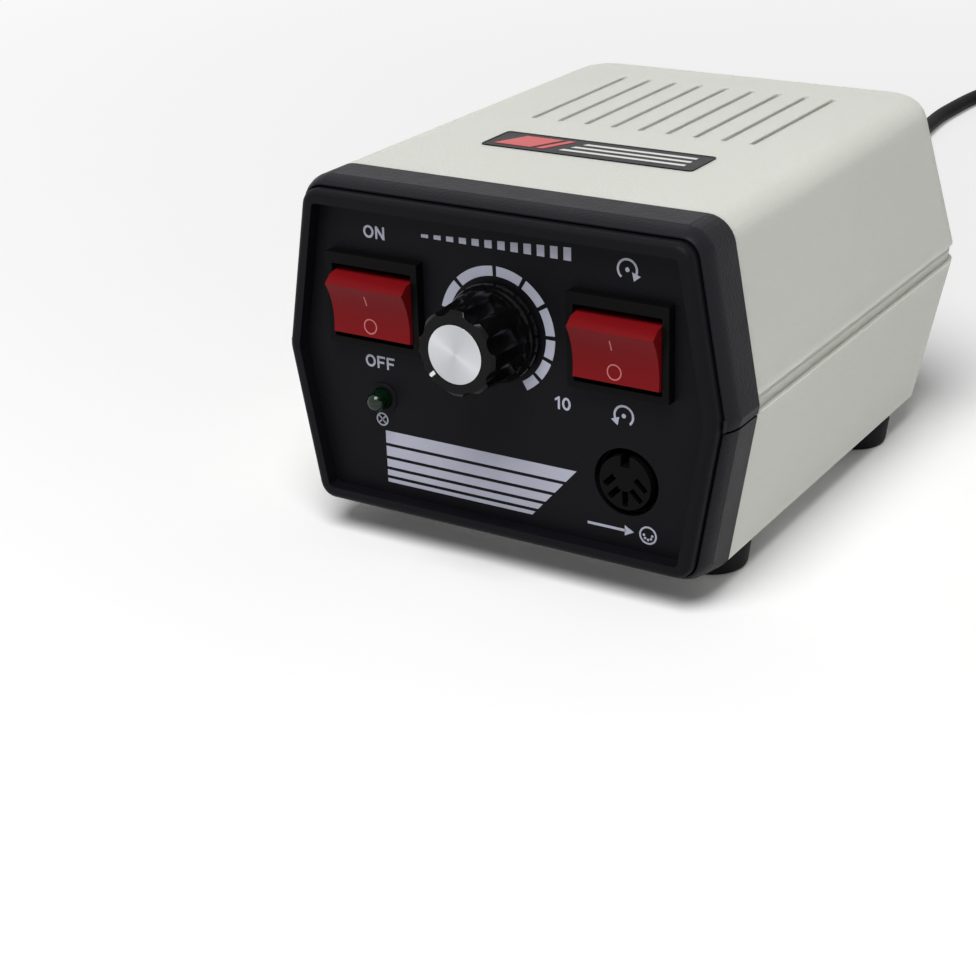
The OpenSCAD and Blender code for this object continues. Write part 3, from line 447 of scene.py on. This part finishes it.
def prism(bm, outline, place, depth):
    # outline in the plane, place maps (u, v, w) to millimetres, depth along w
    near = [bm.verts.new(Vector(place(u, v, depth)) * MM) for u, v in outline]
    far = [bm.verts.new(Vector(place(u, v, 0.0)) * MM) for u, v in outline]
    bm.faces.new(near)
    bm.faces.new(far[::-1])
    count = len(outline)
    for i in range(count):
        j = (i + 1) % count
        bm.faces.new((near[i], far[i], far[j], near[j]))


def lathe(bm, profile, place, count):
    # profile of (radius, height), place maps (u, v, w) to millimetres, w along the axis
    rings = []
    for radius, height in profile:
        if radius < 1e-6:
            rings.append([bm.verts.new(Vector(place(0.0, 0.0, height)) * MM)])
            continue
        ring = []
        for i in range(count):
            a = 2 * math.pi * i / count
            ring.append(bm.verts.new(Vector(place(radius * math.cos(a), radius * math.sin(a), height)) * MM))
        rings.append(ring)
    for a, b in zip(rings, rings[1:]):
        for i in range(count):
            j = (i + 1) % count
            quad = [a[i % len(a)], a[j % len(a)], b[j % len(b)], b[i % len(b)]]
            quad = [v for k, v in enumerate(quad) if v not in quad[:k]]
            if len(quad) > 2:
                bm.faces.new(quad)


def ribbon(bm, left, right, place, depth, low=0.0, closed=False):
    # a strip between two lines of points, from low to depth along w
    rows = []
    for (u0, v0), (u1, v1) in zip(left, right):
        rows.append([bm.verts.new(Vector(place(u, v, w)) * MM)
                     for u, v, w in ((u0, v0, depth), (u1, v1, depth), (u1, v1, low), (u0, v0, low))])
    pairs = list(zip(rows, rows[1:]))
    if closed:
        pairs.append((rows[-1], rows[0]))
    else:
        bm.faces.new(rows[0])
        bm.faces.new(rows[-1][::-1])
    for a, b in pairs:
        for i in range(4):
            j = (i + 1) % 4
            bm.faces.new((a[i], a[j], b[j], b[i]))


def loft(bm, sections):
    # closed sections of equal count, in millimetres
    rings = [[bm.verts.new(Vector(p) * MM) for p in section] for section in sections]
    for a, b in zip(rings, rings[1:]):
        for i in range(len(a)):
            j = (i + 1) % len(a)
            bm.faces.new((a[i], a[j], b[j], b[i]))
    bm.faces.new(rings[0][::-1])
    bm.faces.new(rings[-1])


def arc_points(cx, cz, radius, a0, a1, count):
    out = []
    for i in range(count + 1):
        a = math.radians(a0 + (a1 - a0) * i / count)
        out.append((cx + radius * math.cos(a), cz + radius * math.sin(a)))
    return out


def band(cx, cz, inner, outer, a0, a1, count):
    return arc_points(cx, cz, outer, a0, a1, count) + arc_points(cx, cz, inner, a1, a0, count)


def bar(x0, z0, x1, z1, width):
    along = Vector((x1 - x0, z1 - z0)).normalized()
    side = Vector((-along.y, along.x)) * width / 2
    return [(x0 + side.x, z0 + side.y), (x0 - side.x, z0 - side.y),
            (x1 - side.x, z1 - side.y), (x1 + side.x, z1 + side.y)]


def rounded_box(x0, z0, x1, z1, r, count=4):
    out = []
    corners = ((x1 - r, z1 - r, 0), (x0 + r, z1 - r, 90), (x0 + r, z0 + r, 180), (x1 - r, z0 + r, 270))
    for cx, cz, a in corners:
        out += arc_points(cx, cz, r, a, a + 90, count)
    return out


# mains lead
def spline(a, b, c, d, t):
    square = 2 * a - 5 * b + 4 * c - d
    cube = 3 * b - a - 3 * c + d
    return 0.5 * (2 * b + (c - a) * t + square * t * t + cube * t * t * t)


def smooth(points, count):
    p = [Vector(q) for q in points]
    k = len(p) - 1
    out = []
    for i in range(k):
        for j in range(count):
            out.append(spline(p[max(i - 1, 0)], p[i], p[i + 1], p[min(i + 2, k)], j / count))
    return out + [p[k]]


def climb(t):
    t = min(1.0, max(0.0, t))
    return t * t * (3 - 2 * t)


def coil_at(u):
    r = COIL_MIN + COIL_PITCH * abs(u - COIL_TURNS / 2)
    a = math.radians(90 - 360 * u)
    z = COIL_Z + COIL_LAYER * climb(2 * (u - COIL_TURNS / 2) + 0.5)
    return Vector((COIL_C[0] + r * math.cos(a), COIL_C[1] + r * math.sin(a), z))


LEAD_0 = Vector(RELIEF) + Vector((0.0, RELIEF_L, 0.0))
LEAD_Z = CORD_R + 0.1
LEAD_H = LEAD_0.z - LEAD_Z
LEAD = [
    LEAD_0, LEAD_0 + Vector((0, 8, 0)), LEAD_0 + Vector((0, 16, 0)),
    (8, 117.5, LEAD_Z + LEAD_H * 0.95), (7.2, 133, LEAD_Z + LEAD_H * 0.76),
    (5.2, 149.5, LEAD_Z + LEAD_H * 0.46),
    (2, 166.5, LEAD_Z + LEAD_H * 0.18), (-3, 185, LEAD_Z + LEAD_H * 0.03),
    (-9.4, 205, LEAD_Z), (-19, 230, LEAD_Z), (-31, 260, LEAD_Z), (-42.6, 290, LEAD_Z), (-51, 318, LEAD_Z),
    (-54.8, 345.6, LEAD_Z), (-55, 366, LEAD_Z), (-53.5, 386.8, LEAD_Z),
    (-49.4, 402.5, 2.9), (-41.5, 414.2, 3.1), (-30, 422, 3.4), (-15, 425, 3.7), (-4, 425, 3.7),
    (COIL_C[0] - 2 * CORD_R, COIL_C[1] + COIL_OUT, COIL_Z),
]
COIL_STEPS = 36
TAIL_0 = Vector((PLUG_X, COIL_C[1] - 2 * CORD_R, COIL_Z + COIL_LAYER))
TAIL_1 = Vector((PLUG_X, PLUG_Y + PLUG_NECK, PLUG_H / 2))
TAIL = [TAIL_0, TAIL_0 - Vector((0, 4, 0)), (TAIL_0 + TAIL_1) / 2, TAIL_1 + Vector((0, 4, 0)), TAIL_1]


def make_cord():
    route = smooth(LEAD, 6)
    route += [coil_at(i / COIL_STEPS) for i in range(int(COIL_TURNS * COIL_STEPS) + 1)]
    route += smooth(TAIL, 3)
    data = bpy.data.curves.new("mains_lead", "CURVE")
    data.dimensions = "3D"
    data.bevel_depth = CORD_R * MM
    data.bevel_resolution = 5
    data.use_fill_caps = True
    line = data.splines.new("POLY")
    line.points.add(len(route) - 1)
    for point, at in zip(line.points, route):
        point.co = (*(at * MM), 1.0)
    line.use_smooth = True
    data.materials.append(CORD_MAT)
    obj = link(bpy.data.objects.new("mains_lead", data))
    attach(obj, "case")
    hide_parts("cord_lead", "cord_coil", "cord_tail")
    total = sum((b - a).length for a, b in zip(route, route[1:]))
    return obj, total


def beside_relief(u, v, w):
    return (RELIEF[0] + u, RELIEF[1] + w, RELIEF[2] + v)


def make_relief():
    profile = [(0.0, -5.0), (6.4, -5.0), (6.4, -2.0), (5.0, -2.0), (5.0, 0.0), (7.0, 0.0), (7.0, 1.7),
               (6.5, 2.4), (5.2, 2.5), (5.0, 3.6)]
    ribs = 7
    for i in range(ribs):
        w = 4.2 + i * 2.6
        r = 5.1 - 1.5 * (w - 2.0) / (RELIEF_L - 2.0)
        profile += [(r - 0.2, w - 0.3), (r, w), (r - 0.1, w + 1.3), (r - 0.3, w + 1.5), (r - 0.95, w + 1.7),
                    (r - 1.0, w + 2.1)]
    profile += [(3.5, RELIEF_L - 1.2), (3.3, RELIEF_L - 0.2), (2.9, RELIEF_L), (0.0, RELIEF_L)]
    bm = bmesh.new()
    lathe(bm, profile, beside_relief, 40)
    obj = mesh_piece("relief_ribbed", bm, MAT["rubber_black"], "case", 30.0)
    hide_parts("strain_relief")
    return obj


def plug_section(w, half_w, half_h, r):
    points = rounded_box(-half_w, -half_h, half_w, half_h, r, 6)
    return [(PLUG_X + u, PLUG_Y - w, PLUG_H / 2 + v) for u, v in points]


def make_plug():
    bm = bmesh.new()
    sections = [(-14.0, 3.5, 3.5, 3.4), (-12.0, 3.6, 3.6, 3.5), (-8.0, 4.4, 4.4, 4.2), (-4.0, 5.4, 5.2, 5.0),
                (-1.0, 7.6, 6.0, 5.6), (0.6, 9.6, 6.7, 5.6), (2.6, 10.8, 7.2, 5.2), (5.0, 11.0, 7.3, 5.0)]
    for i in range(5):
        w = 6.0 + i * 2.4
        sections += [(w, 11.0, 7.3, 5.0), (w + 0.4, 10.3, 6.7, 4.8),
                     (w + 1.2, 10.3, 6.7, 4.8), (w + 1.6, 11.0, 7.3, 5.0)]
    sections += [(18.6, 11.2, 7.4, 5.0), (20.0, 11.9, 7.9, 5.0), (24.8, 12.0, 8.0, 5.0),
                 (25.7, 11.6, 7.6, 4.6), (26.0, 11.0, 7.0, 4.0)]
    loft(bm, [plug_section(*entry) for entry in sections])
    obj = mesh_piece("plug_moulded", bm, MAT["fitting_black"], "case", 30.0)
    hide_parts("cord_plug")
    return obj


def across_coil(u, v, w):
    return (u, COIL_C[1] + w, v)


def make_tie():
    bm = bmesh.new()
    outer = rounded_box(TIE_X0 - 0.8, 0.1, TIE_X1 + 0.8, TIE_TOP + 0.8, 3.0, 8)
    inner = rounded_box(TIE_X0, 0.9, TIE_X1, TIE_TOP, 2.2, 8)
    ribbon(bm, outer, inner, across_coil, 4.0, -4.0, True)
    mid = (TIE_X0 + TIE_X1) / 2
    buckle = rounded_box(mid - 4.0, TIE_TOP - 0.2, mid + 4.0, TIE_TOP + 1.3, 0.6, 4)
    prism(bm, buckle, lambda u, v, w: across_coil(u, v, w - 4.6), 9.2)
    obj = mesh_piece("tie_strap", bm, TIE_MAT, "case", 30.0)
    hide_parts("cord_tie")
    return obj


lead, lead_length = make_cord()
make_relief()
make_plug()
make_tie()


# front panel legends, printed on the face
def on_face(u, v, w):
    return (u, FACE_Y - w, WAIST_Z + v)


INK_T = 0.04


def print_on_face(name, outlines):
    bm = bmesh.new()
    for outline in outlines:
        prism(bm, outline, on_face, INK_T)
    mesh_piece(name, bm, INK, "case")


DIAL_GAPS = [168.0, 135.5, 91.1, 60.4, 31.6, 1.8, -20.7, -42.6, -62.0]
DIAL_GAP = 2.0
DIAL_IN = 12.1
DIAL_OUT = 14.3
segments = []
for high, low in zip(DIAL_GAPS, DIAL_GAPS[1:]):
    segments.append(band(0.0, KNOB_Z, DIAL_IN, DIAL_OUT, low + DIAL_GAP, high - DIAL_GAP, 10))
print_on_face("dial_scale", segments)


LETTER_H = 2.9
STROKE = 0.52
LETTER_GAP = 0.45


def oval(width):
    rx = width / 2
    rz = LETTER_H / 2
    halves = []
    for start in (0.0, 180.0):
        outer = [(rx + rx * u, rz + rz * v) for u, v in arc_points(0.0, 0.0, 1.0, start, start + 180.0, 16)]
        inner = [(rx + (rx - STROKE) * u, rz + (rz - STROKE) * v)
                 for u, v in arc_points(0.0, 0.0, 1.0, start + 180.0, start, 16)]
        halves.append(outer + inner)
    return halves


def letter(sign):
    # width and outlines of one sign, its lower left corner at the origin
    h = LETTER_H
    k = STROKE
    mid = 0.48 * h
    if sign == "O":
        return 2.7, oval(2.7)
    if sign == "0":
        return 2.1, oval(2.1)
    if sign == "N":
        w = 2.4
        return w, [[(0, 0), (k, 0), (k, h - 1), (w - k, 0), (w, 0),
                    (w, h), (w - k, h), (w - k, 1), (k, h), (0, h)]]
    if sign == "F":
        w = 2.1
        arm = 0.88 * w
        return w, [[(0, 0), (k, 0), (k, mid - k / 2), (arm, mid - k / 2), (arm, mid + k / 2),
                    (k, mid + k / 2), (k, h - k), (w, h - k), (w, h), (0, h)]]
    stem = 0.7
    return 1.3, [[(stem, 0), (stem + k, 0), (stem + k, h), (0.85, h), (0, h - 0.6), (0, h - 1.1),
                  (stem, h - 0.72)]]


def letters(name, text, x, z):
    signs = [letter(sign) for sign in text]
    left = x - (sum(w for w, outlines in signs) + LETTER_GAP * (len(signs) - 1)) / 2
    placed = []
    for w, outlines in signs:
        placed += [[(left + u, z - LETTER_H / 2 + v) for u, v in outline] for outline in outlines]
        left += w + LETTER_GAP
    print_on_face(name, placed)


letters("legend_on", "ON", -30.9, 28.5)
letters("legend_off", "OFF", -31.1, -1.6)
letters("legend_high", "10", 15.9, -2.8)


ARROW_IN = 1.95
ARROW_OUT = 2.45
ARROW_MID = (ARROW_IN + ARROW_OUT) / 2
ARROW_SWEEP = 250.0
ARROW_TIP = 1.7
ARROW_HALF = 1.05
ARROW_DOT = 0.5


def rotation_mark(name, cx, cz, way):
    start = 230.0 if way > 0 else -50.0
    sweep = -ARROW_SWEEP * way
    outlines = [band(cx, cz, ARROW_IN, ARROW_OUT, start, start + sweep, 26)]
    end = math.radians(start + sweep)
    tip = Vector((cx + ARROW_MID * math.cos(end), cz + ARROW_MID * math.sin(end)))
    ahead = Vector((math.sin(end), -math.cos(end))) * way
    side = Vector((ahead.y, -ahead.x))
    corners = (tip + ahead * ARROW_TIP, tip + side * ARROW_HALF, tip - side * ARROW_HALF)
    outlines.append([tuple(corner) for corner in corners])
    outlines.append(arc_points(cx, cz, ARROW_DOT, 0.0, 342.0, 19))
    print_on_face(name, outlines)


rotation_mark("legend_clockwise", 31.6, 29.2, 1)
rotation_mark("legend_anticlockwise", 30.6, -2.9, -1)


def ring_of(cx, cz, inner, outer, count=28):
    return band(cx, cz, inner, outer, 0.0, 180.0, count), band(cx, cz, inner, outer, 180.0, 360.0, count)


def speed_mark():
    # a rising row of bars
    count = 12
    first = -17.6
    pitch = 3.2
    half = 0.9
    low = 29.1
    outlines = []
    for i in range(count):
        x = first + i * pitch
        top = low + 0.7 + i * 0.19
        outlines.append([(x - half, low), (x + half, low), (x + half, top + 0.1), (x - half, top)])
    print_on_face("legend_speed", outlines)


def lamp_mark(cx, cz):
    # a crossed ring
    reach = 0.88
    outlines = list(ring_of(cx, cz, 1.25, 1.6))
    for way in (-1, 1):
        outlines.append(bar(cx - reach, cz - reach * way, cx + reach, cz + reach * way, 0.34))
    print_on_face("legend_lamp", outlines)


def output_mark(x0, x1, cz):
    # an arrow to a round socket
    rim = 2.1
    cx = x1 - rim
    outlines = list(ring_of(cx, cz, 1.7, rim))
    for i in range(5):
        a = math.radians(180 + 45 * i)
        outlines.append(arc_points(cx + math.cos(a), cz + math.sin(a), 0.3, 0.0, 330.0, 11))
    outlines.append(bar(x0, cz, cx - 5.4, cz, 0.6))
    outlines.append([(cx - 5.6, cz + 1.2), (cx - 5.6, cz - 1.2), (cx - 3.4, cz)])
    print_on_face("legend_output", outlines)


def stripe_mark():
    # plain graded stripes with slanted ends
    left = -30.6
    reach = 19.0
    first = -17.9
    slant = 0.9
    gap = 0.75
    outlines = []
    top = first
    for high in (3.0, 2.4, 1.9, 1.4, 0.9):
        low = top - high
        right = reach - (first - top) * slant
        outlines.append([(left, top), (left, low), (right - high * slant, low), (right, top)])
        top = low - gap
    print_on_face("legend_stripes", outlines)


speed_mark()
lamp_mark(-31.3, -15.3)
output_mark(21.6, 38.4, -29.2)
stripe_mark()


# marks on the rockers
def on_rocker(side):
    def place(u, v, w):
        out = DISH_LOW + DISH_DEEP * (v / RIDGE) ** 2 + w
        up = v * math.cos(TILT) - out * math.sin(TILT)
        ahead = v * math.sin(TILT) + out * math.cos(TILT)
        return (side * SWITCH_X + u, PIVOT_Y - ahead, PIVOT_Z + up)
    return place


MARK_TOP = 0.03
MARK_LOW = -0.05
RING_AT = (-0.3, -3.6)
RING_IN = 1.45
RING_OUT = 1.75


def rocker_marks(name, side, body):
    bm = bmesh.new()
    place = on_rocker(side)
    steps = [1.4 + 0.5 * i for i in range(6)]
    ribbon(bm, [(-0.65, v) for v in steps], [(-0.35, v) for v in steps], place, MARK_TOP, MARK_LOW)
    inner = arc_points(*RING_AT, RING_IN, 0.0, 348.75, 31)
    outer = arc_points(*RING_AT, RING_OUT, 0.0, 348.75, 31)
    ribbon(bm, outer, inner, place, MARK_TOP, MARK_LOW, True)
    mesh_piece(name, bm, ROCKER_INK, body)


rocker_marks("power_rocker_marks", -1, "power_rocker")
rocker_marks("direction_rocker_marks", 1, "direction_rocker")


# pointer of the knob, in its groove
def on_knob(u, v, w):
    a = math.radians(POINTER)
    x = u * math.cos(a) - v * math.sin(a)
    z = u * math.sin(a) + v * math.cos(a)
    return (x, KNOB_FRONT - w, WAIST_Z + KNOB_Z + z)


def knob_pointer():
    start = 7.15
    end = 8.3
    half = 0.42
    sunk = 0.6
    thick = 0.42
    bm = bmesh.new()
    outline = [(start, -half)] + arc_points(end, 0.0, half, -90.0, 90.0, 8) + [(start, half)]
    prism(bm, outline, lambda u, v, w: on_knob(u, v, w - sunk), thick)
    mesh_piece("knob_pointer", bm, WHITE_INK, "speed_knob")


knob_pointer()


# plate on the cover, plain marks only
def on_cover(u, v, w):
    return (u, FRONT_Y + v, TOP_Z + w)


PLATE_T = 0.2
PLATE_RIM_T = 0.28
PLATE_MARK_T = 0.27
PLATE_LOW = 42.4
PLATE_HIGH = 50.5


def cover_plate():
    bm = bmesh.new()
    outer = rounded_box(-26.9, 40.2, 26.9, 52.7, 1.0)
    inner = rounded_box(-26.5, 40.6, 26.5, 52.3, 0.8)
    prism(bm, outer, on_cover, PLATE_T)
    ribbon(bm, outer, inner, on_cover, PLATE_RIM_T, PLATE_T / 2, True)
    mesh_piece("cover_plate", bm, BADGE_BLACK, "case")
    bm = bmesh.new()
    for x0, x1, x2, x3 in ((-24.6, -15.0, -10.8, -20.4), (-13.6, -11.8, -7.6, -9.4)):
        slanted = [(x0, PLATE_LOW), (x1, PLATE_LOW), (x2, PLATE_HIGH), (x3, PLATE_HIGH)]
        prism(bm, slanted, on_cover, PLATE_MARK_T)
    mesh_piece("cover_plate_red", bm, BADGE_RED, "case")
    bm = bmesh.new()
    for i in range(3):
        y = 43.0 + i * 2.9
        step = i * 1.5
        line = [(-7.8 + step, y), (23.6, y), (23.6, y + 1.1), (-7.23 + step, y + 1.1)]
        prism(bm, line, on_cover, PLATE_MARK_T)
    mesh_piece("cover_plate_lines", bm, WHITE_INK, "case")


cover_plate()


# grip ribs of the fuse cap
def on_fuse(u, v, w):
    return (FUSE[0] - u, FUSE[1] + w, FUSE[2] + v)


RIB_COUNT = 30
RIB_FOOT = 5.7
RIB_HIGH = 0.3
RIB_START = 2.9
RIB_LENGTH = 3.9


def fuse_ribs():
    bm = bmesh.new()
    for i in range(RIB_COUNT):
        a = math.radians(360.0 / RIB_COUNT * i)
        rim = []
        for k in range(5):
            b = math.radians(-3.4 + 1.7 * k)
            r = RIB_FOOT + RIB_HIGH * math.cos(math.radians(-90.0 + 45.0 * k))
            rim.append((r * math.cos(a + b), r * math.sin(a + b)))
        prism(bm, rim, lambda u, v, w: on_fuse(u, v, w + RIB_START), RIB_LENGTH)
    mesh_piece("fuse_cap_ribs", bm, MAT["fitting_black"], "fuse_cap", 50.0)


fuse_ribs()


# light and floor
FLOOR_HALF = 6.0
GLOW_NEAR = 0.05
GLOW_FAR = 0.95
GLOW_FROM = 0.12
GLOW_TO = 1.6
WORLD_LIGHT = 0.17
WORLD_SEEN = 0.96
WHITE = (1.0, 1.0, 1.0, 1.0)
LIGHT_AT = Vector((0.17, -0.74, 1.34))
LIGHT_AIM = Vector((0.0, 0.0, 0.05))
LIGHT_SIZE = 0.95
LIGHT_POWER = 21.8


def background_rays(tree):
    # 1 for the rays that see the background, and 0 for those that light the object
    path = tree.nodes.new("ShaderNodeLightPath")
    seen = path.outputs["Is Camera Ray"]
    for name in ("Is Glossy Ray", "Is Transmission Ray"):
        either = tree.nodes.new("ShaderNodeMath")
        either.operation = "MAXIMUM"
        tree.links.new(seen, either.inputs[0])
        tree.links.new(path.outputs[name], either.inputs[1])
        seen = either.outputs["Value"]
    return seen


def make_floor():
    bm = bmesh.new()
    bmesh.ops.create_grid(bm, x_segments=2, y_segments=2, size=FLOOR_HALF)
    data = bpy.data.meshes.new("floor")
    bm.to_mesh(data)
    bm.free()
    n = Nodes("floor_pale")
    n.colour(n.ramp(n.noise(3.0), [(0.3, (0.97, 0.97, 0.97)), (0.7, (0.98, 0.98, 0.98))]))
    n.set(Roughness=0.9, Specular_IOR_Level=0.0)
    glow = n.add("ShaderNodeEmission")
    glow.inputs["Color"].default_value = WHITE
    away = n.add("ShaderNodeVectorMath", operation="LENGTH")
    n.link(n.coords, away.inputs[0])
    reach = n.spread(away.outputs["Value"], GLOW_NEAR, GLOW_FAR)
    reach.node.inputs["From Min"].default_value = GLOW_FROM
    reach.node.inputs["From Max"].default_value = GLOW_TO
    level = n.add("ShaderNodeMath", operation="MULTIPLY")
    n.link(background_rays(n.tree), level.inputs[0])
    n.link(reach, level.inputs[1])
    n.link(level.outputs["Value"], glow.inputs["Strength"])
    both = n.add("ShaderNodeAddShader")
    n.link(n.shader.outputs["BSDF"], both.inputs[0])
    n.link(glow.outputs["Emission"], both.inputs[1])
    n.link(both.outputs["Shader"], n.tree.nodes["Material Output"].inputs["Surface"])
    obj = link(bpy.data.objects.new("floor", data))
    data.materials.append(n.mat)


def background(tree, strength):
    node = tree.nodes.new("ShaderNodeBackground")
    node.inputs["Color"].default_value = WHITE
    node.inputs["Strength"].default_value = strength
    return node.outputs["Background"]


def make_world():
    world = bpy.data.worlds.new("world")
    bpy.context.scene.world = world
    world.use_nodes = True
    tree = world.node_tree
    tree.nodes.remove(tree.nodes["Background"])
    mix = tree.nodes.new("ShaderNodeMixShader")
    tree.links.new(background_rays(tree), mix.inputs["Fac"])
    tree.links.new(background(tree, WORLD_LIGHT), mix.inputs[1])
    tree.links.new(background(tree, WORLD_SEEN), mix.inputs[2])
    tree.links.new(mix.outputs["Shader"], tree.nodes["World Output"].inputs["Surface"])


def make_light():
    data = bpy.data.lights.new("main_light", "AREA")
    data.shape = "DISK"
    data.size = LIGHT_SIZE
    data.energy = LIGHT_POWER
    obj = link(bpy.data.objects.new("main_light", data))
    obj.location = LIGHT_AT
    obj.rotation_euler = (LIGHT_AIM - LIGHT_AT).to_track_quat("-Z", "Y").to_euler()


make_floor()
make_world()
make_light()
bpy.context.scene.view_settings.view_transform = "Standard"
